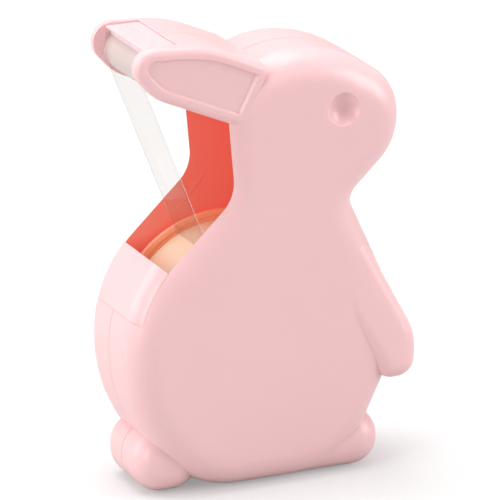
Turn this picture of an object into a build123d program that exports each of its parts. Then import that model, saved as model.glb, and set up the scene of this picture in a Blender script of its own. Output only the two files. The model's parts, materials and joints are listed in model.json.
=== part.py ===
from build123d import *
import math
import os

# Desk tape dispenser in the shape of a sitting rabbit, in millimetres.
# The rabbit faces +X and stands on the plane z = 0; the tape reel turns about the Y axis.
# Two hollow half shells meet on the plane y = 0. The +Y half carries the reel and the
# tape cutter, and the -Y half is the cover that pulls off for a new roll.

# ---- driving dimensions -------------------------------------------------------------
body_width = 26.0        # over the flat sides of the two shells
body_edge = 6.5          # rounding between the flat sides and the rim of the body
wall = 2.0               # shell wall
seam_gap = 0.1           # parting line between the shells
pad_stand = 0.2          # how far the foot pads lift the shells off the desk

arm_edge = 3.4
arm_lean = 4.0           # degrees, the hand stands out from the side and the shoulder is flush
shoulder_z = 40.5
foot_half = 12.0
foot_edge = 5.6
tail_half = 10.3
tail_edge = 5.6

ear_width = 24.9         # over the flat sides of the two ears
ear_edge = 1.6           # rounding of the ears' outer edges
ear_thickness = 2.6      # each ear where it stands free at the tip
ear_panel_margin = 2.6   # rim left around the sunk panel in each ear
ear_panel_depth = 0.5
ear_panel_slope = 0.45   # how far the panel's sloping sides run in

tape_width = 18.0
core_bore_radius = 12.7  # small-core tape
core_wall = 1.8
roll_radius = 21.5
reel_x = -3.4
reel_z = 28.9
flange_radius = 23.3
flange_thickness = 1.0
flange_rim = 0.9         # raised rim left outside the groove round the flange
hub_wall = 1.6
hub_web = 1.6
hub_length = 16.0
axle_radius = 4.0
axle_length = 16.6       # from the shell's inner wall to the axle's free end
sleeve_wall = 1.8
screw_radius = 1.5
screw_head_radius = 2.9
screw_head_height = 1.8
retainer_radius = 7.0
retainer_thickness = 1.0
washer_thickness = 0.4

opening_half_width = 11.0
lip_height = 12.5        # along the back, from the mouth of the opening down
lip_lap = 3.0            # how far the lip's inner flange reaches below its lower edge
lip_lap_half_width = 5.0
lip_lap_thickness = 1.2

cutter_x = -27.75        # cutting edge
cutter_top = 93.3
cutter_depth = 7.3       # from the cutting edge back to the ear block
blade_thickness = 1.0
blade_edge_thickness = 0.35
tooth_pitch = 1.0
tooth_depth = 0.35
blade_rib_pitch = 1.1
blade_rib_height = 0.08
bar_radius = 4.0         # rounded landing bar below the blade
bar_drop = 5.1           # centre of the bar's rounding below the blade's top
bar_wall = 1.6
bar_tongue = 4.0         # how far the cutter bar's tongues enter the ear block
bar_tongue_thickness = 1.5
bar_rib_thickness = 1.4

strip_thickness = 0.2

eye_x = 13.7
eye_z = 77.3
eye_radius = 3.5
eye_depth = 1.9

peg_radius = 1.2
peg_length = 5.0
peg_post_radius = 2.4

ballast_length = 22.0
ballast_depth = 17.0
ballast_height = 2.8
ballast_x = 0.0
ballast_pin_radius = 0.9
ballast_pin_spacing = 9.0
ballast_pin_reach = 4.0  # how far the pins run past the seam

pad_radius = 2.3
pad_thickness = 0.8
pad_front_x = 13.0
pad_rear_x = -8.0
pad_y = 3.3

# ---- clearances -----------------------------------------------------------------------
running_fit = 0.05       # radial, a bore that turns on a post
peg_fit = 0.05           # radial, peg in socket
seat_gap = 0.1           # between pieces that lie against each other
core_fit = 0.1           # radial, core on the hub
free_gap = 0.3           # between a still piece and one that moves past it
lip_gap = 0.03           # around the lip, a tight joint

# ---- values that follow ------------------------------------------------------------
half_width = body_width / 2
inner_half = half_width - wall
ear_half = ear_width / 2
prong_inner = ear_half - ear_thickness
core_radius = core_bore_radius + core_wall
hub_radius = core_bore_radius - core_fit
sleeve_bore = axle_radius + running_fit
reel_far_y = inner_half - 0.8
flange_near_y = reel_far_y - flange_thickness
roll_far_y = flange_near_y - seat_gap
roll_near_y = roll_far_y - tape_width
axle_end_y = inner_half - axle_length
sleeve_end_y = axle_end_y + washer_thickness + seat_gap
ear_block_x = cutter_x + cutter_depth


# ---- outlines in the XZ plane: corner x, corner z, corner rounding ----------------------
def body_corners():
    """Belly, neck and head as one run, clockwise from the back of the base."""
    base = pad_stand
    return [
        (-15.8, base, 20.0),
        (-31.5, 15.9, 33.0),
        (-31.5, 42.2, 28.0),
        (-10.7, 62.1, 6.0),
        (-12.3, 79.7, 9.0),
        (-3.6, 89.4, 19.5),
        (13.0, 89.4, 26.5),
        (27.6, 80.3, 11.0),
        (27.6, 68.0, 13.0),
        (16.9, 57.8, 3.0),
        (26.9, 36.0, 30.0),
        (26.9, 23.0, 26.0),
        (16.0, base, 18.0),
    ]


def ear_corners():
    """Both ears and the block that joins them, from the tip along the top."""
    return [
        (-30.2, 94.15, 4.0),
        (-14.5, 93.3, 30.0),
        (-1.2, 87.5, 2.2),
        (-7.4, 75.6, 1.9),
        (-26.0, 83.6, 10.0),
        (-30.2, 88.3, 4.0),
    ]


def arm_corners():
    return [
        (9.0, 50.0, 3.5),
        (19.2, 50.0, 3.5),
        (30.75, 27.9, 12.0),
        (29.85, 19.5, 4.0),
        (23.1, 19.1, 4.0),
        (14.6, 34.1, 12.0),
    ]


def foot_corners():
    base = pad_stand
    return [
        (-2.0, base, 0.0),
        (4.0, 12.0, 0.0),
        (23.7, 12.0, 5.7),
        (23.7, base, 5.7),
    ]


def tail_corners():
    base = pad_stand
    return [
        (-29.0, base, 6.0),
        (-29.0, 13.2, 6.0),
        (-15.0, 13.2, 6.0),
        (-15.0, base, 6.0),
    ]


# ---- helpers -------------------------------------------------------------------------
def outline_face(corners):
    """Closed outline with rounded corners, on the plane y = 0."""
    points = [(x, z) for x, z, radius in corners]
    radii = [radius for x, z, radius in corners]
    outline = Plane.XZ * FilletPolyline(*points, radius=radii, close=True)
    return make_face(outline)


def inset_corners(corners, distance):
    """The same outline moved inwards: sides shift, outer roundings shrink, inner ones grow."""
    moved = []
    count = len(corners)
    for i in range(count):
        before, here, after = corners[i - 1], corners[i], corners[(i + 1) % count]
        ux, uz = unit(here[0] - before[0], here[1] - before[1])
        vx, vz = unit(after[0] - here[0], after[1] - here[1])
        turn = ux * vz - uz * vx
        # both sides move to their right-hand side, which is inwards for a clockwise outline
        share = distance / (1 + ux * vx + uz * vz)
        x = here[0] + share * (uz + vz)
        z = here[1] - share * (ux + vx)
        radius = here[2] - distance if turn < 0 else here[2] + distance
        moved.append((x, z, max(radius, 0.3) if here[2] > 0 else 0.0))
    return moved


def unit(x, z):
    length = math.hypot(x, z)
    return x / length, z / length


def inset_face(corners, distance):
    return outline_face(inset_corners(corners, distance) if distance else corners)


def near_slab(face, depth):
    """Extrude an outline from the plane y = 0 towards -Y."""
    return extrude(face, amount=depth, dir=(0, -1, 0))


def near_pillow(corners, depth, edge_radius, inset=0.0):
    """Half of a rounded body: flat on y = 0, rounded where it meets its flat side."""
    slab = near_slab(inset_face(corners, inset), depth - inset)
    side = slab.faces().sort_by(Axis.Y)[0]
    return fillet(side.edges(), max(edge_radius - inset, 0.5))


def block(x_range, y_range, z_range):
    size = [high - low for low, high in (x_range, y_range, z_range)]
    return Pos(x_range[0], y_range[0], z_range[0]) * Box(*size, align=Align.MIN)


def disc(x, z, radius, y_low, y_high):
    """Cylinder along Y between two y values."""
    turned = Rot(X=-90) * Cylinder(radius, y_high - y_low, align=(Align.CENTER, Align.CENTER, Align.MIN))
    return Pos(x, y_low, z) * turned


def ring(x, z, radius, bore, y_low, y_high):
    return disc(x, z, radius, y_low, y_high) - disc(x, z, bore, y_low - 1, y_high + 1)


def prism(points, y_low, y_high):
    """Straight-sided block along Y over a polygon of x, z points."""
    face = make_face(Plane.XZ * Polyline(*points, close=True))
    return Pos(0, y_high, 0) * near_slab(face, y_high - y_low)


def mirrored(solid):
    return mirror(solid, about=Plane.XZ)


def save(name, shape):
    """Write one STEP file with all the solids of a node."""
    solids = shape.solids()
    whole = solids[0] if len(solids) == 1 else Compound(children=list(solids))
    whole.label = name
    export_step(whole, os.path.join("parts", name + ".step"))
    print(name, len(solids), round(sum(s.volume for s in solids), 1))


# ---- the opening in the neck and back --------------------------------------------------
# A point on the back where the opening starts, and the directions along and into the back.
back_arc_centre = (-3.5, 30.2)
back_arc_radius = 28.0
mouth_angle = math.radians(138.8)
lip_angle = mouth_angle + lip_height / back_arc_radius


def back_point(angle, radius):
    x = back_arc_centre[0] + radius * math.cos(angle)
    z = back_arc_centre[1] + radius * math.sin(angle)
    return x, z


def opening_prism():
    """What is cut from the rim wall between the shells, from the mouth upwards."""
    outer = [back_point(mouth_angle, back_arc_radius + 3), (-34.0, 70.0), (-20.0, 84.0)]
    depth = back_arc_radius - body_edge - 0.2
    inner = [(-5.2, 84.0), (-4.3, 62.0), (-7.5, 58.0), back_point(mouth_angle, depth)]
    return prism(outer + inner, -opening_half_width, opening_half_width)


# ---- shells -------------------------------------------------------------------------------
def arm(inset=0.0):
    """Arm that leans outwards from the shoulder to the hand."""
    upright = near_pillow(arm_corners(), half_width, arm_edge, inset)
    shoulder = Pos(20.0, -half_width, shoulder_z)
    leaning = shoulder * Rot(X=-arm_lean) * shoulder.inverse() * upright
    return leaning & block((0, 60), (-40, 0), (0, 60))


def near_outside():
    """Outside of the -Y half, closed and solid."""
    body = near_pillow(body_corners(), half_width, body_edge)
    body = body - opening_prism()
    ears = near_pillow(ear_corners(), ear_half, ear_edge)
    foot = near_pillow(foot_corners(), foot_half, foot_edge)
    tail = near_pillow(tail_corners(), tail_half, tail_edge)
    return body + ears + foot + tail + arm()


def near_inside():
    """Hollow of the -Y half."""
    body = near_pillow(body_corners(), half_width, body_edge, wall)
    tail = near_pillow(tail_corners(), tail_half, tail_edge, wall)
    foot = near_pillow(foot_corners(), foot_half, foot_edge, wall)
    ear_room = near_slab(inset_face(ear_corners(), wall), prong_inner)
    return body + tail + foot + ear_room + arm(wall)


def ear_tip_gap():
    return block((-40, ear_block_x), (-prong_inner, prong_inner), (70, 110))


def ear_panel():
    """Sunk panel whose sides slope down to its flat floor."""
    above = 0.4
    mouth_margin = ear_panel_margin - ear_panel_slope * (1 + above / ear_panel_depth)
    floor = Pos(0, -ear_half + ear_panel_depth, 0) * inset_face(ear_corners(), ear_panel_margin)
    mouth = Pos(0, -ear_half - above, 0) * inset_face(ear_corners(), mouth_margin)
    return loft([floor, mouth], ruled=True)


def eye_dimple():
    """Spherical dish sunk in the side of the head."""
    sphere_radius = (eye_radius ** 2 + eye_depth ** 2) / (2 * eye_depth)
    centre_y = -half_width - sphere_radius + eye_depth
    return Pos(eye_x, centre_y, eye_z) * Sphere(sphere_radius)


def lip_band(extra, half):
    """The stretch of the back just below the opening."""
    low = back_arc_radius - body_edge - 0.2
    high = back_arc_radius + 3
    steps = 4
    angles = [mouth_angle + i * (lip_angle - mouth_angle) / steps for i in range(steps + 1)]
    turn = extra / back_arc_radius
    angles[-1] = angles[-1] + turn
    points = [back_point(a, high) for a in angles] + [back_point(a, low) for a in angles[::-1]]
    return prism(points, -half, half)


def lip_flange():
    """Flange behind the rim wall that holds the lip's lower edge."""
    high = back_arc_radius - wall - free_gap
    low = high - lip_lap_thickness
    turn = lip_lap_turn()
    angles = [lip_angle - turn, lip_angle, lip_angle + turn]
    points = [back_point(a, high) for a in angles] + [back_point(a, low) for a in angles[::-1]]
    return prism(points, -lip_lap_half_width, lip_lap_half_width)


def lip_flange_root():
    """Joins the flange to the lip above the rim wall's edge."""
    high = back_arc_radius - wall + 0.2
    low = high - lip_lap_thickness
    angles = [lip_angle - lip_lap_turn(), lip_angle - lip_gap * 4 / back_arc_radius]
    points = [back_point(a, high) for a in angles] + [back_point(a, low) for a in angles[::-1]]
    return prism(points, -lip_lap_half_width, lip_lap_half_width)


def lip_lap_turn():
    return lip_lap / back_arc_radius


def peg_places():
    """Where the cover's pegs stand, clear of the reel, and how far out each post reaches."""
    body_reach = half_width - wall / 2
    return [
        (-22.6, 7.0, tail_half - wall / 2),
        (15.6, 6.6, foot_half - wall / 2),
        (9.5, 57.0, body_reach),
        (8.0, 80.0, body_reach),
        (-13.0, 85.6, ear_half - ear_thickness / 2),
    ]


def pad_places():
    return [(pad_rear_x, pad_y), (pad_front_x, pad_y)]


def pad_pockets(side):
    pocket_radius = pad_radius + seat_gap
    cut = []
    for x, y in pad_places():
        depth = pad_thickness - pad_stand
        pocket = Pos(x, side * y, 0) * Cylinder(pocket_radius, pad_stand + depth,
                                                align=(Align.CENTER, Align.CENTER, Align.MIN))
        cut.append(pocket)
    return cut


def near_shell_blank():
    """One half with everything the two shells share, on the -Y side."""
    eye_boss = disc(eye_x, eye_z, eye_radius + wall / 2, -inner_half - 0.5, -inner_half + eye_depth)
    shell = near_outside() - near_inside() + eye_boss
    shell = shell - ear_tip_gap() - ear_panel() - eye_dimple()
    shell = shell - lip_band(lip_gap, opening_half_width)
    seam = block((-60, 60), (-seam_gap / 2, 5), (-5, 120))
    return shell - seam


def right_shell(blank):
    shell = blank
    for x, z, reach in peg_places():
        post = disc(x, z, peg_post_radius, -reach, -seam_gap / 2)
        peg = disc(x, z, peg_radius, -seam_gap, peg_length - seat_gap)
        shell = shell + post + peg
    for pocket in pad_pockets(-1):
        shell = shell - pocket
    return shell


def left_shell(blank):
    shell = mirrored(blank)
    for x, z, reach in peg_places():
        post = disc(x, z, peg_post_radius, seam_gap / 2, reach)
        socket = disc(x, z, peg_radius + peg_fit, -1, peg_length + seat_gap)
        shell = shell + post - socket
    axle = disc(reel_x, reel_z, axle_radius, axle_end_y, inner_half + 0.5)
    foot = disc(reel_x, reel_z, axle_radius + 2.0, reel_far_y + free_gap, inner_half + 0.5)
    screw_hole = disc(reel_x, reel_z, screw_radius + running_fit, axle_end_y - 1, axle_end_y + 9)
    shell = shell + axle + foot - screw_hole
    for x in ballast_pin_places():
        shell = shell + disc(x, ballast_z(), ballast_pin_radius, -ballast_pin_reach, inner_half + 0.5)
    for pocket in pad_pockets(1):
        shell = shell - pocket
    return shell


# ---- lip ---------------------------------------------------------------------------------
def rear_lip():
    near_body = near_pillow(body_corners(), half_width, body_edge)
    near_room = near_pillow(body_corners(), half_width, body_edge, wall)
    near = near_body - near_room
    near = near & lip_band(0.0, opening_half_width - lip_gap)
    return near + mirrored(near) + lip_flange() + lip_flange_root()


# ---- cutter --------------------------------------------------------------------------------
def cutter_half():
    return prong_inner - seat_gap


def bar_centre():
    return cutter_x - 0.15 + bar_radius, cutter_top - bar_drop


def cutter_bar():
    """Rounded landing bar between the ears, with tongues that plug into the ear block."""
    half = cutter_half()
    cx, cz = bar_centre()
    top = cutter_top - blade_thickness
    roof = top - 0.8
    floor = cz - bar_radius + 0.2
    back = ear_block_x - seat_gap
    solid = prism([(cx, top), (cx, floor), (back, floor - 1.6), (back, top)], -half, half)
    solid = solid + disc(cx, cz, bar_radius, -half, half)
    solid = solid + block((cx - 2.6, cx), (-half, half), (top - 0.9, top))
    hollow = prism([(cx, top - bar_wall), (cx, floor + bar_wall),
                    (ear_block_x + 1, floor - 1.6 + bar_wall), (ear_block_x + 1, top - bar_wall)], -half, half)
    hollow = hollow + disc(cx, cz, bar_radius - bar_wall, -half, half)
    solid = solid - hollow
    tongue_half = half - 1.2
    for low in (roof - 2.2, floor - 0.7):
        tongue = block((back - 1.5, ear_block_x + bar_tongue), (-tongue_half, tongue_half),
                       (low, low + bar_tongue_thickness))
        solid = solid + tongue
    for y in (-half * 0.5, 0.0, half * 0.5):
        rib = block((cx, back), (y - bar_rib_thickness / 2, y + bar_rib_thickness / 2),
                    (floor + 0.4, top - 0.4))
        solid = solid + rib
    return solid


def cutter_blade():
    """Flat blade with fine teeth along its front edge and grip ribs on top."""
    half = cutter_half()
    back = ear_block_x - seat_gap
    base = cutter_top - blade_thickness
    profile = [
        (cutter_x + tooth_depth, cutter_top - blade_edge_thickness),
        (cutter_x + tooth_depth, cutter_top),
        (back, cutter_top),
        (back, base),
        (cutter_x + 1.9, base),
    ]
    blade = prism(profile, -half, half)
    count = int(2 * half / tooth_pitch)
    start = -count * tooth_pitch / 2
    root = cutter_x + tooth_depth + 0.05
    for i in range(count):
        y = start + i * tooth_pitch
        tooth = make_face(Polyline((root, y), (cutter_x, y + tooth_pitch / 2), (root, y + tooth_pitch), close=True))
        tooth = Pos(0, 0, cutter_top - blade_edge_thickness) * extrude(tooth, amount=blade_edge_thickness, dir=(0, 0, 1))
        blade = blade + tooth
    ribs = int((cutter_depth - 2.2) / blade_rib_pitch)
    for i in range(ribs):
        x = cutter_x + 1.6 + i * blade_rib_pitch
        rib = block((x, x + 0.4), (-half + 0.4, half - 0.4), (cutter_top - 0.1, cutter_top + blade_rib_height))
        blade = blade + rib
    return blade


# ---- reel and tape -----------------------------------------------------------------------------
def reel_hub():
    """Drum with one flange, an inner web and a sleeve that turns on the axle."""
    x, z = reel_x, reel_z
    hub = disc(x, z, flange_radius, flange_near_y, reel_far_y)
    groove_inner = roll_radius + seat_gap
    hub = hub - ring(x, z, flange_radius - flange_rim, groove_inner, flange_near_y - 1, flange_near_y + 0.5)
    drum_near = reel_far_y - hub_length
    hub = hub + ring(x, z, hub_radius, hub_radius - hub_wall, drum_near, reel_far_y)
    web = ring(x, z, hub_radius - 0.1, sleeve_bore + 0.1, reel_far_y - 5.0 - hub_web, reel_far_y - 5.0)
    opened = hub - disc(x, z, hub_radius - hub_wall, drum_near - 1, reel_far_y + 1)
    for i in range(6):
        angle = math.radians(60 * i)
        hole = disc(x + 7.9 * math.cos(angle), z + 7.9 * math.sin(angle), 1.6, -20, 20)
        web = web - hole
    sleeve = ring(x, z, axle_radius + sleeve_wall, sleeve_bore, sleeve_end_y, reel_far_y)
    return opened + web + sleeve


def tape_core():
    return ring(reel_x, reel_z, core_radius, core_bore_radius, roll_near_y, roll_far_y)


def tape_roll():
    return ring(reel_x, reel_z, roll_radius, core_radius, roll_near_y + 0.05, roll_far_y - 0.05)


def strip_path():
    """Peel point on the roll, touch point on the bar, then up to the blade."""
    cx, cz = bar_centre()
    radius = bar_radius + 0.1
    peel_angle = math.radians(115.6)
    reach = roll_radius + free_gap + 0.1
    px = reel_x + reach * math.cos(peel_angle)
    pz = reel_z + reach * math.sin(peel_angle)
    distance = math.hypot(cx - px, cz - pz)
    heading = math.atan2(cz - pz, cx - px) + math.asin(radius / distance)
    length = math.sqrt(distance ** 2 - radius ** 2)
    touch = (px + length * math.cos(heading), pz + length * math.sin(heading))
    return (px, pz), touch, (cx - radius, cz)


def tape_strip():
    """Free end of the tape, from the roll over the landing bar to the cutting edge."""
    peel, touch, front = strip_path()
    cx, cz = bar_centre()
    radius = bar_radius + 0.1
    middle = math.radians((math.degrees(math.atan2(touch[1] - cz, touch[0] - cx)) % 360 + 180) / 2)
    on_bar = (cx + radius * math.cos(middle), cz + radius * math.sin(middle))
    line = Line(peel, touch) + ThreePointArc(touch, on_bar, front)
    line = line + Line(front, (front[0], cutter_top - 0.6))
    path = Plane.XZ * line
    ribbon = trace_band(path, strip_thickness)
    return Pos(0, tape_width / 2, 0) * near_slab(ribbon, tape_width)


def trace_band(path, thickness):
    """Thin face that follows a path on its -X side."""
    wire = path.wire() if isinstance(path, Wire) else Wire(path.edges())
    outer = wire.offset_2d(thickness, side=Side.LEFT)
    if outer.bounding_box().min.X > wire.bounding_box().min.X:
        outer = wire.offset_2d(thickness, side=Side.RIGHT)
    return outer if isinstance(outer, Face) else make_face(outer)


def drag_washer():
    return ring(reel_x, reel_z, axle_radius + sleeve_wall, axle_radius + running_fit,
                sleeve_end_y - washer_thickness - seat_gap / 2, sleeve_end_y - seat_gap / 2)


def reel_retainer():
    return ring(reel_x, reel_z, retainer_radius, screw_radius + running_fit,
                axle_end_y - retainer_thickness, axle_end_y)


def axle_screw():
    head_y = axle_end_y - retainer_thickness
    head = disc(reel_x, reel_z, screw_head_radius, head_y - screw_head_height, head_y)
    head = fillet(head.edges().sort_by(Axis.Y)[0], 0.8)
    shank = disc(reel_x, reel_z, screw_radius, head_y - 0.2, axle_end_y + 8)
    slot_a = block((reel_x - 1.5, reel_x + 1.5), (head_y - screw_head_height - 0.1, head_y - 0.9),
                   (reel_z - 0.3, reel_z + 0.3))
    slot_b = block((reel_x - 0.3, reel_x + 0.3), (head_y - screw_head_height - 0.1, head_y - 0.9),
                   (reel_z - 1.5, reel_z + 1.5))
    return head + shank - slot_a - slot_b


# ---- base ---------------------------------------------------------------------------------------
def ballast_z():
    return pad_stand + wall + 0.15 + ballast_height / 2


def ballast_pin_places():
    return [ballast_x - ballast_pin_spacing / 2, ballast_x + ballast_pin_spacing / 2]


def ballast_weight():
    low = ballast_z() - ballast_height / 2
    bar = block((ballast_x - ballast_length / 2, ballast_x + ballast_length / 2),
                (-ballast_depth / 2, ballast_depth / 2), (low, low + ballast_height))
    room = near_pillow(body_corners(), half_width, body_edge, wall + seat_gap)
    bar = bar & (room + mirrored(room))
    for x in ballast_pin_places():
        bar = bar - disc(x, ballast_z(), ballast_pin_radius + peg_fit, -20, 20)
    return bar


def foot_pads(side):
    pads = []
    for x, y in pad_places():
        pad = Pos(x, side * y, 0) * Cylinder(pad_radius, pad_thickness - 0.02,
                                             align=(Align.CENTER, Align.CENTER, Align.MIN))
        pads.append(fillet(pad.edges().sort_by(Axis.Z)[0], 0.15))
    return pads


def main():
    os.makedirs("parts", exist_ok=True)
    blank = near_shell_blank()
    save("right_shell", right_shell(blank))
    save("left_shell", left_shell(blank))
    save("rear_lip", rear_lip())
    save("cutter_bar", cutter_bar())
    save("cutter_blade", cutter_blade())
    save("reel_hub", reel_hub())
    save("tape_core", tape_core())
    save("tape_roll", tape_roll())
    save("tape_strip", tape_strip())
    save("drag_washer", drag_washer())
    save("reel_retainer", reel_retainer())
    save("axle_screw", axle_screw())
    save("ballast_weight", ballast_weight())
    save("left_foot_pads", Compound(children=foot_pads(1)))
    save("right_foot_pads", Compound(children=foot_pads(-1)))


main()
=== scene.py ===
# %% [markdown]
# # A small tape dispenser in the shape of a sitting rabbit
# The real one is injection moulded: two hollow pink half shells pegged together, a reel that
# turns inside, and a cutter held between the ears. The solid parts were drawn in CAD and
# arrive as a fixed frame. This notebook gives them their surfaces, winds the tape, stretches
# its free end to the cutter, and lights the scene. Everything is in metres, with +X the way
# the rabbit faces and +Z up.

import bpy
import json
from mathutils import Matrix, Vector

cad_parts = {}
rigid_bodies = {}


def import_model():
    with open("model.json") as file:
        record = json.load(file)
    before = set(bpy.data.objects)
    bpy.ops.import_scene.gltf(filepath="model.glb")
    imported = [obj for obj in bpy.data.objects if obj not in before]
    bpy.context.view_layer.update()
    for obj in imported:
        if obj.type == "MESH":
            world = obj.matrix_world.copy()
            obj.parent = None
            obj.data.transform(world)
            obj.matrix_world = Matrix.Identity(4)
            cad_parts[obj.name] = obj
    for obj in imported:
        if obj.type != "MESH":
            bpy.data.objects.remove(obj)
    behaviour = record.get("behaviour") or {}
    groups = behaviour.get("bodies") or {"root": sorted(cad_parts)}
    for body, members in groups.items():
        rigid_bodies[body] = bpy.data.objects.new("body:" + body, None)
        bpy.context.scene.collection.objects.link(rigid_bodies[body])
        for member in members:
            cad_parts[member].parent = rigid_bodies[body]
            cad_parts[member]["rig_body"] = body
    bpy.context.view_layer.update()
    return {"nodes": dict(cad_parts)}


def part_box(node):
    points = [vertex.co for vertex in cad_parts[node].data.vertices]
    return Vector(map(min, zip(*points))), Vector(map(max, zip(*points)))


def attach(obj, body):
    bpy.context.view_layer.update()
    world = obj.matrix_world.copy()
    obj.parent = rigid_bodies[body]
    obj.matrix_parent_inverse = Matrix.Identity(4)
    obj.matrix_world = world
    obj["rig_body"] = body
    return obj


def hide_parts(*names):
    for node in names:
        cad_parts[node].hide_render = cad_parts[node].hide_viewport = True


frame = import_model()

# %% Modules used below
import json
import math

import bmesh
import bpy
from mathutils import Vector
from mathutils.bvhtree import BVHTree

scene = bpy.context.scene
MM = 0.001

# %% [markdown]
# ## Camera and light first
# The camera looks along a line that is fixed in the object's own frame, from behind, from the
# near side and a little above. It stands far away, so that the perspective is gentle. Standard
# colour handling keeps a white table white.

# %% The camera
def place_camera(target, heading, distance, lens):
    camera_data = bpy.data.cameras.new("camera")
    camera_data.lens = lens
    camera_data.sensor_width = 36.0
    camera_data.clip_start = 0.05
    camera_data.clip_end = 20.0
    camera = bpy.data.objects.new("camera", camera_data)
    scene.collection.objects.link(camera)
    heading = Vector(heading).normalized()
    camera.location = Vector(target) - heading * distance
    camera.rotation_mode = "QUATERNION"
    camera.rotation_quaternion = heading.to_track_quat("-Z", "Y")
    scene.camera = camera
    return camera


camera = place_camera((-0.0008, 0.0, 0.04609), (0.3857, 0.8663, -0.3173), 1.0, 360.0)
scene.view_settings.view_transform = "Standard"
print("camera at", [round(v, 3) for v in camera.location])

# %% [markdown]
# Four soft boxes light the rabbit: one above, a narrow one at its back corner that draws a line
# of light along the rounded edge, a wide one behind its back, and one in front of its face.

# %% Soft studio lights
def add_softbox(name, place, aim, width, height, watts):
    data = bpy.data.lights.new(name, "AREA")
    data.shape = "RECTANGLE"
    data.size = width
    data.size_y = height
    data.energy = watts
    light = bpy.data.objects.new(name, data)
    scene.collection.objects.link(light)
    light.location = place
    light.rotation_mode = "QUATERNION"
    light.rotation_quaternion = (Vector(aim) - Vector(place)).to_track_quat("-Z", "Y")
    return light


middle = Vector((0.0, 0.0, 0.05))
add_softbox("light_above", (-0.05, 0.10, 0.75), middle, 0.7, 0.7, 5.0)
add_softbox("light_left", (-0.80, -0.30, 0.20), middle, 0.3, 0.7, 3.0)
add_softbox("light_back", (-0.70, 0.45, 0.35), middle, 0.6, 0.6, 2.6)
add_softbox("light_front", (0.90, -0.50, 0.40), middle, 0.6, 0.6, 5.6)

world = bpy.data.worlds.new("studio")
world.use_nodes = True
background = world.node_tree.nodes["Background"]
background.inputs["Color"].default_value = (1.0, 1.0, 1.0, 1.0)
background.inputs["Strength"].default_value = 0.5
scene.world = world
print("lights", len(bpy.data.lights))

# %% [markdown]
# ## Helpers for shader nodes
# Each finish below is a small tree of nodes. Patterns read Object coordinates, which are the
# object's own metres, so a pattern keeps its real size and rides with its piece.

# %% Node helpers
def new_material(name):
    material = bpy.data.materials.new(name)
    material.use_nodes = True
    nodes = material.node_tree.nodes
    return material, nodes, material.node_tree.links, nodes["Principled BSDF"]


def set_inputs(node, **values):
    for key, value in values.items():
        node.inputs[key.replace("_", " ")].default_value = value
    return node


def new_group(name, inputs, outputs):
    group = bpy.data.node_groups.new(name, "ShaderNodeTree")
    for label, kind, value in inputs:
        socket = group.interface.new_socket(label, in_out="INPUT", socket_type=kind)
        socket.default_value = value
    for label, kind in outputs:
        group.interface.new_socket(label, in_out="OUTPUT", socket_type=kind)
    entry = group.nodes.new("NodeGroupInput")
    leave = group.nodes.new("NodeGroupOutput")
    return group, entry, leave


def place_group(nodes, group, **values):
    node = nodes.new("ShaderNodeGroup")
    node.node_tree = group
    return set_inputs(node, **values)


def math_node(nodes, links, operation, first, second=0.0):
    node = nodes.new("ShaderNodeMath")
    node.operation = operation
    for socket, value in zip(node.inputs, (first, second)):
        if isinstance(value, (int, float)):
            socket.default_value = value
        else:
            links.new(value, socket)
    return node.outputs[0]


print("helpers ready")

# %% [markdown]
# ## A moulded skin shared by all the plastic
# Polished moulds leave a surface that is almost flat: a very shallow ripple like orange peel,
# and a faint unevenness of gloss where the plastic cooled at different speeds. The colour
# drifts by a percent or two with it. One group makes all three from two noises. The walls are
# thin, so a little light passes under the skin. The warm red glow that fills the hollow inside
# the shells is painted light: the inner faces get a deeper coral colour and a faint emission.

# %% The moulded_skin group
def build_moulded_skin():
    group, entry, leave = new_group(
        "moulded_skin",
        [("Color", "NodeSocketColor", (0.9, 0.6, 0.6, 1.0)),
         ("Deep Color", "NodeSocketColor", (0.85, 0.5, 0.5, 1.0)),
         ("Ripple Scale", "NodeSocketFloat", 600.0),
         ("Roughness", "NodeSocketFloat", 0.3),
         ("Roughness Spread", "NodeSocketFloat", 0.06)],
        [("Color", "NodeSocketColor"), ("Roughness", "NodeSocketFloat"), ("Height", "NodeSocketFloat")])
    nodes, links = group.nodes, group.links
    place = nodes.new("ShaderNodeTexCoord").outputs["Object"]
    broad = set_inputs(nodes.new("ShaderNodeTexNoise"), Scale=45.0, Detail=2.0, Roughness=0.5)
    ripple = set_inputs(nodes.new("ShaderNodeTexNoise"), Detail=2.0, Roughness=0.45)
    links.new(place, broad.inputs["Vector"])
    links.new(place, ripple.inputs["Vector"])
    links.new(entry.outputs["Ripple Scale"], ripple.inputs["Scale"])
    mix = nodes.new("ShaderNodeMix")
    mix.data_type = "RGBA"
    links.new(broad.outputs["Fac"], mix.inputs["Factor"])
    links.new(entry.outputs["Color"], mix.inputs["A"])
    links.new(entry.outputs["Deep Color"], mix.inputs["B"])
    links.new(mix.outputs["Result"], leave.inputs["Color"])
    centred = math_node(nodes, links, "SUBTRACT", broad.outputs["Fac"], 0.5)
    spread = math_node(nodes, links, "MULTIPLY", centred, entry.outputs["Roughness Spread"])
    rough = math_node(nodes, links, "ADD", spread, entry.outputs["Roughness"])
    links.new(rough, leave.inputs["Roughness"])
    links.new(ripple.outputs["Fac"], leave.inputs["Height"])
    return group


moulded_skin = build_moulded_skin()
print("group", moulded_skin.name)

# %% Plastics made with it
RIPPLES_PER_METRE = 600.0
LIGHT_REACH = 1.2 * MM
LIGHT_REACH_BY_COLOUR = (1.0, 0.5, 0.46)


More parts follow.
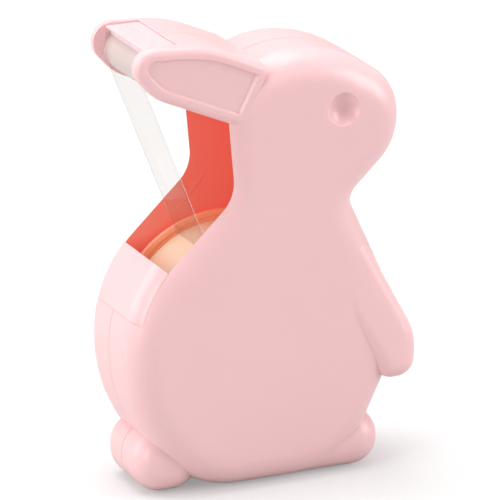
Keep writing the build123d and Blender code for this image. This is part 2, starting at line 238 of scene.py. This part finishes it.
def moulded_plastic(name, colour, deep, roughness, ripple_height, soft=0.0, glow=None):
    material, nodes, links, shader = new_material(name)
    skin = place_group(nodes, moulded_skin, Ripple_Scale=RIPPLES_PER_METRE, Roughness=roughness)
    skin.inputs["Color"].default_value = (*colour, 1.0)
    skin.inputs["Deep Color"].default_value = (*deep, 1.0)
    links.new(skin.outputs["Color"], shader.inputs["Base Color"])
    links.new(skin.outputs["Roughness"], shader.inputs["Roughness"])
    bump = set_inputs(nodes.new("ShaderNodeBump"), Strength=0.35, Distance=ripple_height)
    links.new(skin.outputs["Height"], bump.inputs["Height"])
    links.new(bump.outputs["Normal"], shader.inputs["Normal"])
    shader.inputs["IOR"].default_value = 1.5
    if soft:
        shader.inputs["Subsurface Weight"].default_value = soft
        shader.inputs["Subsurface Radius"].default_value = LIGHT_REACH_BY_COLOUR
        shader.inputs["Subsurface Scale"].default_value = LIGHT_REACH
    # Emission is painted light: a glow on a part that is no lamp.
    if glow:
        shader.inputs["Emission Color"].default_value = (*glow, 1.0)
        shader.inputs["Emission Strength"].default_value = 1.0
    return material


shell_pink = moulded_plastic("shell_pink", (0.88, 0.575, 0.585), (0.87, 0.555, 0.565), 0.30,
                             0.02 * MM, soft=0.4)
# Painted light: the inner faces' deeper coral and faint emission stand in for red light bouncing inside
# the hollow shells.
shell_inside_painted_light = moulded_plastic("shell_inside_painted_light", (0.90, 0.31, 0.25), (0.88, 0.28, 0.22), 0.34,
                               0.02 * MM, glow=(0.15, 0.022, 0.014))
cutter_pink = moulded_plastic("cutter_pink", (0.92, 0.62, 0.64), (0.91, 0.60, 0.62), 0.24,
                              0.01 * MM, soft=0.4)
bar_pink = moulded_plastic("bar_pink", (0.96, 0.82, 0.83), (0.95, 0.80, 0.81), 0.26,
                           0.01 * MM, soft=0.3)
# The reel's faint emission is painted light: a glow that stands in for red light bounced onto it inside
# the hollow.
reel_peach_painted_glow = moulded_plastic("reel_peach_painted_glow", (0.94, 0.50, 0.33), (0.92, 0.47, 0.30), 0.38,
                             0.01 * MM, glow=(0.14, 0.05, 0.02))
print("plastics", shell_pink.name, cutter_pink.name, bar_pink.name, reel_peach_painted_glow.name)

# %% [markdown]
# ## Metal, rubber and paper
# The ballast bar and the screw are zinc plated steel with faint rolling lines, the pads are
# matt rubber with a fine speckle, and the core is wound from grey-brown paper.

# %% Steel, rubber and paper
ROUGHNESS_SWING = 0.15


def streaked(name, light, dark, stretch, scale, roughness, metallic, bump_height):
    material, nodes, links, shader = new_material(name)
    place = nodes.new("ShaderNodeTexCoord").outputs["Object"]
    mapping = nodes.new("ShaderNodeMapping")
    mapping.inputs["Scale"].default_value = stretch
    noise = set_inputs(nodes.new("ShaderNodeTexNoise"), Scale=scale, Detail=4.0, Roughness=0.6)
    ramp = nodes.new("ShaderNodeValToRGB")
    ramp.color_ramp.elements[0].position = 0.35
    ramp.color_ramp.elements[0].color = (*dark, 1.0)
    ramp.color_ramp.elements[1].position = 0.65
    ramp.color_ramp.elements[1].color = (*light, 1.0)
    links.new(place, mapping.inputs["Vector"])
    links.new(mapping.outputs["Vector"], noise.inputs["Vector"])
    links.new(noise.outputs["Fac"], ramp.inputs["Fac"])
    links.new(ramp.outputs["Color"], shader.inputs["Base Color"])
    rough = math_node(nodes, links, "MULTIPLY_ADD", noise.outputs["Fac"], ROUGHNESS_SWING)
    rough.node.inputs[2].default_value = roughness - ROUGHNESS_SWING / 2
    links.new(rough, shader.inputs["Roughness"])
    bump = set_inputs(nodes.new("ShaderNodeBump"), Strength=0.4, Distance=bump_height)
    links.new(noise.outputs["Fac"], bump.inputs["Height"])
    links.new(bump.outputs["Normal"], shader.inputs["Normal"])
    shader.inputs["Metallic"].default_value = metallic
    return material


EVEN = (1.0, 1.0, 1.0)
plated_steel = streaked("plated_steel", (0.64, 0.65, 0.67), (0.5, 0.51, 0.53),
                        (1.0, 8.0, 8.0), 260.0, 0.34, 1.0, 0.02 * MM)
pad_rubber = streaked("pad_rubber", (0.68, 0.65, 0.62), (0.6, 0.57, 0.54),
                      EVEN, 2500.0, 0.75, 0.0, 0.03 * MM)
washer_rubber = streaked("washer_rubber", (0.07, 0.07, 0.075), (0.045, 0.045, 0.05),
                         EVEN, 2500.0, 0.7, 0.0, 0.03 * MM)
core_paper = streaked("core_paper", (0.66, 0.53, 0.38), (0.56, 0.43, 0.29),
                      (1.0, 6.0, 1.0), 700.0, 0.85, 0.0, 0.05 * MM)
print("streaked finishes", 4)

# %% [markdown]
# ## The shells' inner faces
# The hollow side of the shells gets painted light of its own: a deeper coral colour and a faint
# glow that stand in for the red light bouncing about inside. A face looks inwards when straight
# looks away from it meet plastic again, and each patch between sharp edges goes with the larger
# part of its area, so no single face stands out.

# %% Which faces look inwards
LOOK_FROM = 0.02 * MM
LOOK_REACH = 80 * MM
TILTS = [(0.0, 0.0), (0.7, 0.0), (-0.7, 0.0), (0.0, 0.7), (0.0, -0.7)]
BLOCKED_LOOKS = 4


def hull_tree(nodes):
    """One search tree over the triangles of several CAD nodes."""
    whole = bmesh.new()
    for node in nodes:
        whole.from_mesh(frame["nodes"][node].data)
    tree = BVHTree.FromBMesh(whole)
    whole.free()
    return tree


def looks_inwards(face, tree):
    """True where most straight looks away from the face meet plastic again."""
    normal = face.normal
    side = normal.orthogonal().normalized()
    up = normal.cross(side)
    start = face.calc_center_median() + normal * LOOK_FROM
    looks = [(normal + side * a + up * b).normalized() for a, b in TILTS]
    blocked = sum(tree.ray_cast(start, look, LOOK_REACH)[0] is not None for look in looks)
    return blocked >= BLOCKED_LOOKS


def smooth_patches(shape):
    """Faces in groups that no sharp edge divides."""
    left = set(shape.faces)
    while left:
        patch, front = [], [left.pop()]
        while front:
            face = front.pop()
            patch.append(face)
            for edge in face.edges:
                if edge.smooth:
                    for other in edge.link_faces:
                        if other in left:
                            left.remove(other)
                            front.append(other)
        yield patch


def paint_inside_light(shape, tree):
    """The second material, with the light inside the hollow painted into it, goes to every patch whose
    area mostly looks inwards.
    """
    for patch in smooth_patches(shape):
        area = sum(face.calc_area() for face in patch)
        inwards = sum(face.calc_area() for face in patch if looks_inwards(face, tree))
        for face in patch:
            face.material_index = 1 if inwards > area / 2 else 0


outer_walls = hull_tree(["left_shell", "right_shell", "rear_lip"])
print("search tree ready")

# %% [markdown]
# ## Smooth copies of the CAD parts
# A CAD mesh is loose triangles with hard edges between all of them. On a copy the shared
# corners are merged, edges sharper than a limit are marked, and a Weighted Normal modifier
# lets the large flat faces rule the shading, so the roundings look moulded.

# %% The copy helper
SHARP_ANGLE = math.radians(32.0)
WELD = 0.002 * MM
LARGE_FACE_WEIGHT = 60


def smooth_copy(node, name, material, inner=None):
    source = frame["nodes"][node]
    shape = bmesh.new()
    shape.from_mesh(source.data)
    bmesh.ops.remove_doubles(shape, verts=shape.verts, dist=WELD)
    for edge in shape.edges:
        edge.smooth = len(edge.link_faces) == 2 and edge.calc_face_angle(0.0) < SHARP_ANGLE
    for face in shape.faces:
        face.smooth = True
    # Faces that look inwards get the second material, whose coral colour and glow are painted light.
    if inner:
        paint_inside_light(shape, outer_walls)
    mesh = bpy.data.meshes.new(name)
    shape.to_mesh(mesh)
    shape.free()
    piece = bpy.data.objects.new(name, mesh)
    scene.collection.objects.link(piece)
    mesh.materials.append(material)
    if inner:
        mesh.materials.append(inner)
    weighted = piece.modifiers.new("weighted", "WEIGHTED_NORMAL")
    weighted.keep_sharp = True
    weighted.weight = LARGE_FACE_WEIGHT
    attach(piece, source["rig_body"])
    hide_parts(node)
    print(name, len(mesh.polygons), "faces")


# %% Shells, lip, cutter bar and reel
smooth_copy("left_shell", "far_shell", shell_pink, inner=shell_inside_painted_light)
smooth_copy("right_shell", "near_shell", shell_pink, inner=shell_inside_painted_light)
smooth_copy("rear_lip", "back_lip", shell_pink, inner=shell_inside_painted_light)
smooth_copy("cutter_bar", "landing_bar", bar_pink)
smooth_copy("reel_hub", "reel", reel_peach_painted_glow)
smooth_copy("reel_retainer", "retainer_disc", reel_peach_painted_glow)
smooth_copy("axle_screw", "cross_screw", plated_steel)

# %% CAD parts that only need their finish
def finish_cad_node(node, material):
    mesh = frame["nodes"][node].data
    mesh.materials.clear()
    mesh.materials.append(material)


finish_cad_node("cutter_blade", cutter_pink)
finish_cad_node("drag_washer", washer_rubber)
finish_cad_node("ballast_weight", plated_steel)
finish_cad_node("left_foot_pads", pad_rubber)
finish_cad_node("right_foot_pads", pad_rubber)
finish_cad_node("tape_core", core_paper)
print("finished CAD nodes", 6)

# %% [markdown]
# ## The wound tape
# A roll of clear film looks cream because hundreds of layers lie on each other. Its sides
# show fine rings, each turn a hair proud of the next. The section is drawn once as a
# rectangle with softened corners and spun round the reel's axis.

# %% Tape finishes
REEL_X = -3.4 * MM
REEL_Z = 28.9 * MM
RINGS_PER_METRE = 3000.0


def build_wound_rings():
    group, entry, leave = new_group(
        "wound_rings",
        [("Ring Scale", "NodeSocketFloat", RINGS_PER_METRE)],
        [("Height", "NodeSocketFloat"), ("Tone", "NodeSocketFloat")])
    nodes, links = group.nodes, group.links
    place = nodes.new("ShaderNodeTexCoord").outputs["Object"]
    centred = nodes.new("ShaderNodeMapping")
    centred.inputs["Location"].default_value = (-REEL_X, 0.0, -REEL_Z)
    centred.inputs["Scale"].default_value = (1.0, 0.0, 1.0)
    links.new(place, centred.inputs["Vector"])
    length = nodes.new("ShaderNodeVectorMath")
    length.operation = "LENGTH"
    links.new(centred.outputs["Vector"], length.inputs[0])
    turns = math_node(nodes, links, "MULTIPLY", length.outputs["Value"], entry.outputs["Ring Scale"])
    noise = set_inputs(nodes.new("ShaderNodeTexNoise"), Scale=1.0, Detail=3.0, Roughness=0.7)
    noise.noise_dimensions = "1D"
    links.new(turns, noise.inputs["W"])
    links.new(noise.outputs["Fac"], leave.inputs["Height"])
    links.new(noise.outputs["Fac"], leave.inputs["Tone"])
    return group


wound_rings = build_wound_rings()


def wound_tape():
    material, nodes, links, shader = new_material("wound_tape")
    rings = place_group(nodes, wound_rings, Ring_Scale=RINGS_PER_METRE)
    ramp = nodes.new("ShaderNodeValToRGB")
    ramp.color_ramp.elements[0].position = 0.3
    ramp.color_ramp.elements[0].color = (0.84, 0.68, 0.47, 1.0)
    ramp.color_ramp.elements[1].position = 0.7
    ramp.color_ramp.elements[1].color = (0.92, 0.81, 0.62, 1.0)
    links.new(rings.outputs["Tone"], ramp.inputs["Fac"])
    links.new(ramp.outputs["Color"], shader.inputs["Base Color"])
    bump = set_inputs(nodes.new("ShaderNodeBump"), Strength=0.3, Distance=0.04 * MM)
    links.new(rings.outputs["Height"], bump.inputs["Height"])
    links.new(bump.outputs["Normal"], shader.inputs["Normal"])
    set_inputs(shader, Roughness=0.22, Coat_Weight=0.6)
    return material


tape_finish = wound_tape()
print("tape finish", tape_finish.name)

# %% The roll itself
def spun_ring(name, inner, outer, low_y, high_y, soft, steps):
    shape = bmesh.new()
    corners = [(inner, low_y), (outer, low_y), (outer, high_y), (inner, high_y)]
    verts = [shape.verts.new((REEL_X + r, y, REEL_Z)) for r, y in corners]
    edges = [shape.edges.new((verts[i], verts[(i + 1) % 4])) for i in range(4)]
    bmesh.ops.bevel(shape, geom=verts, offset=soft, offset_type="OFFSET", affect="VERTICES",
                    segments=3, profile=0.5, material=-1, clamp_overlap=True)
    bmesh.ops.spin(shape, geom=shape.verts[:] + shape.edges[:], cent=(REEL_X, 0.0, REEL_Z),
                   axis=(0.0, 1.0, 0.0), angle=math.tau, steps=steps, use_merge=True)
    bmesh.ops.remove_doubles(shape, verts=shape.verts, dist=WELD / 2)
    bmesh.ops.recalc_face_normals(shape, faces=shape.faces)
    for face in shape.faces:
        face.smooth = True
    mesh = bpy.data.meshes.new(name)
    shape.to_mesh(mesh)
    shape.free()
    piece = bpy.data.objects.new(name, mesh)
    scene.collection.objects.link(piece)
    weighted = piece.modifiers.new("weighted", "WEIGHTED_NORMAL")
    weighted.keep_sharp = True
    return piece


roll_low, roll_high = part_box("tape_roll")
roll_outer = (roll_high.x - roll_low.x) / 2
core_low, core_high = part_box("tape_core")
roll_inner = (core_high.x - core_low.x) / 2
roll = spun_ring("wound_roll", roll_inner, roll_outer, roll_low.y, roll_high.y, 0.15 * MM, 160)
roll.data.materials.append(tape_finish)
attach(roll, "reel")
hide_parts("tape_roll")
print("roll radius", round(roll_outer, 4))

# %% [markdown]
# ## The free end of the tape
# One layer of clear film is nearly invisible: it shows by its slight milkiness, by a soft
# sheen, and by its two cut edges, where light gathers. It is a sheet drawn along the line from
# the roll to the rounded bar and over it to the blade, then given its thickness.

# %% Clear film
TAPE_WIDTH = 18.0 * MM
# The edge band is a painted highlight: the outer quarter millimetre at each side is made paler and less
# clear, for the light that gathers in the cut edges.
BRIGHT_EDGE = 0.25 * MM
SOFT_EDGE = 0.10 * MM
FILM_MILK = 0.115
MILK_STREAKS = 0.06
EDGE_HIGHLIGHT_OPACITY = 0.5


def clear_film():
    material, nodes, links, shader = new_material("clear_film")
    place = nodes.new("ShaderNodeTexCoord").outputs["Object"]
    split = nodes.new("ShaderNodeSeparateXYZ")
    links.new(place, split.inputs["Vector"])
    side = math_node(nodes, links, "ABSOLUTE", split.outputs["Y"])
    edge = nodes.new("ShaderNodeMapRange")
    set_inputs(edge, From_Min=TAPE_WIDTH / 2 - BRIGHT_EDGE, From_Max=TAPE_WIDTH / 2 - SOFT_EDGE,
               To_Min=0.0, To_Max=1.0)
    links.new(side, edge.inputs["Value"])
    streaks = set_inputs(nodes.new("ShaderNodeTexNoise"), Scale=400.0, Detail=2.0)
    stretch = nodes.new("ShaderNodeMapping")
    stretch.inputs["Scale"].default_value = (0.05, 1.0, 0.05)
    links.new(place, stretch.inputs["Vector"])
    links.new(stretch.outputs["Vector"], streaks.inputs["Vector"])
    milk = math_node(nodes, links, "MULTIPLY", streaks.outputs["Fac"], MILK_STREAKS)
    painted_edge_alpha = math_node(nodes, links, "MULTIPLY", edge.outputs["Result"], EDGE_HIGHLIGHT_OPACITY)
    milk_and_edge_highlight = math_node(nodes, links, "ADD", painted_edge_alpha, milk)
    alpha = math_node(nodes, links, "ADD", milk_and_edge_highlight, FILM_MILK)
    links.new(alpha, shader.inputs["Alpha"])
    # The film's brownish tint turns to pale cream in the painted edge highlight.
    tint_and_edge_highlight = nodes.new("ShaderNodeMix")
    tint_and_edge_highlight.data_type = "RGBA"
    tint_and_edge_highlight.inputs["A"].default_value = (0.34, 0.22, 0.15, 1.0)
    tint_and_edge_highlight.inputs["B"].default_value = (0.92, 0.88, 0.80, 1.0)
    links.new(edge.outputs["Result"], tint_and_edge_highlight.inputs["Factor"])
    links.new(tint_and_edge_highlight.outputs["Result"], shader.inputs["Base Color"])
    bump = set_inputs(nodes.new("ShaderNodeBump"), Strength=0.15, Distance=0.02 * MM)
    links.new(streaks.outputs["Fac"], bump.inputs["Height"])
    links.new(bump.outputs["Normal"], shader.inputs["Normal"])
    shader.inputs["Roughness"].default_value = 0.12
    return material


film_finish = clear_film()
print("film", film_finish.name)

# %% The strip's line in the XZ plane
BAR_X = -23.9 * MM
BAR_Z = 88.2 * MM
BAR_RADIUS = 4.0 * MM
STRIP_END_Z = 92.6 * MM
LIFT = 0.15 * MM
PEEL_ANGLE = math.radians(115.6)
PEEL_REACH = 21.9 * MM


def strip_line():
    """Points from the roll, straight to where the bar is touched, round it, and up."""
    reach = BAR_RADIUS + LIFT
    start = Vector((REEL_X, REEL_Z)) + PEEL_REACH * Vector((math.cos(PEEL_ANGLE), math.sin(PEEL_ANGLE)))
    bar = Vector((BAR_X, BAR_Z))
    gap = bar - start
    heading = math.atan2(gap.y, gap.x) + math.asin(reach / gap.length)
    run = math.sqrt(gap.length_squared - reach * reach)
    touch = start + run * Vector((math.cos(heading), math.sin(heading)))
    first = math.atan2(touch.y - bar.y, touch.x - bar.x) % math.tau
    points = [start.lerp(touch, i / 12) for i in range(13)]
    for i in range(1, 7):
        angle = first + (math.pi - first) * i / 6
        points.append(bar + reach * Vector((math.cos(angle), math.sin(angle))))
    climb = STRIP_END_Z - BAR_Z
    points += [Vector((BAR_X - reach, BAR_Z + climb * i / 3)) for i in (1, 2, 3)]
    return points


line = strip_line()
strip_length = sum((b - a).length for a, b in zip(line, line[1:]))
print("strip length", round(strip_length, 4))

# %% The strip
def build_strip(width, thickness):
    """The line drawn out across the tape's width, then thickened."""
    shape = bmesh.new()
    row = [shape.verts.new((p.x, -width / 2, p.y)) for p in line]
    edges = [shape.edges.new(pair) for pair in zip(row, row[1:])]
    pulled = bmesh.ops.extrude_edge_only(shape, edges=edges)["geom"]
    moved = [v for v in pulled if isinstance(v, bmesh.types.BMVert)]
    bmesh.ops.translate(shape, verts=moved, vec=(0.0, width, 0.0))
    across = [e for e in shape.edges if abs(e.verts[0].co.y - e.verts[1].co.y) > width / 2]
    bmesh.ops.subdivide_edges(shape, edges=across, cuts=5, use_grid_fill=True)
    bmesh.ops.recalc_face_normals(shape, faces=shape.faces)
    bmesh.ops.solidify(shape, geom=shape.faces[:], thickness=thickness)
    bmesh.ops.recalc_face_normals(shape, faces=shape.faces)
    for face in shape.faces:
        face.smooth = True
    mesh = bpy.data.meshes.new("free_tape")
    shape.to_mesh(mesh)
    shape.free()
    piece = bpy.data.objects.new("free_tape", mesh)
    scene.collection.objects.link(piece)
    mesh.materials.append(film_finish)
    return piece


strip = build_strip(TAPE_WIDTH, 0.05 * MM)
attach(strip, "stand")
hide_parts("tape_strip")
print("strip faces", len(strip.data.polygons))

# %% [markdown]
# ## The floor
# A wide pale table with a faint mottling, so that the rabbit stands on something and its soft
# shadow has a place to fall. It looks a little brighter to the eye than the light that it
# throws back at the rabbit, as a lit white table does.

# %% The floor
FLOOR_HALF = 6.0
FLOOR_LIFT = 0.28


def build_floor():
    shape = bmesh.new()
    bmesh.ops.create_grid(shape, x_segments=1, y_segments=1, size=FLOOR_HALF)
    mesh = bpy.data.meshes.new("floor")
    shape.to_mesh(mesh)
    shape.free()
    floor = bpy.data.objects.new("floor", mesh)
    scene.collection.objects.link(floor)
    material, nodes, links, shader = new_material("pale_floor")
    place = nodes.new("ShaderNodeTexCoord").outputs["Object"]
    noise = set_inputs(nodes.new("ShaderNodeTexNoise"), Scale=3.0, Detail=2.0)
    links.new(place, noise.inputs["Vector"])
    ramp = nodes.new("ShaderNodeValToRGB")
    ramp.color_ramp.elements[0].color = (0.56, 0.56, 0.56, 1.0)
    ramp.color_ramp.elements[1].color = (0.58, 0.58, 0.58, 1.0)
    links.new(noise.outputs["Fac"], ramp.inputs["Fac"])
    links.new(ramp.outputs["Color"], shader.inputs["Base Color"])
    set_inputs(shader, Roughness=0.9)
    shader.inputs["Specular IOR Level"].default_value = 0.1
    seen = nodes.new("ShaderNodeLightPath").outputs["Is Camera Ray"]
    links.new(math_node(nodes, links, "MULTIPLY", seen, FLOOR_LIFT), shader.inputs["Emission Strength"])
    shader.inputs["Emission Color"].default_value = (1.0, 1.0, 1.0, 1.0)
    mesh.materials.append(material)
    return floor


print("floor", build_floor().name)
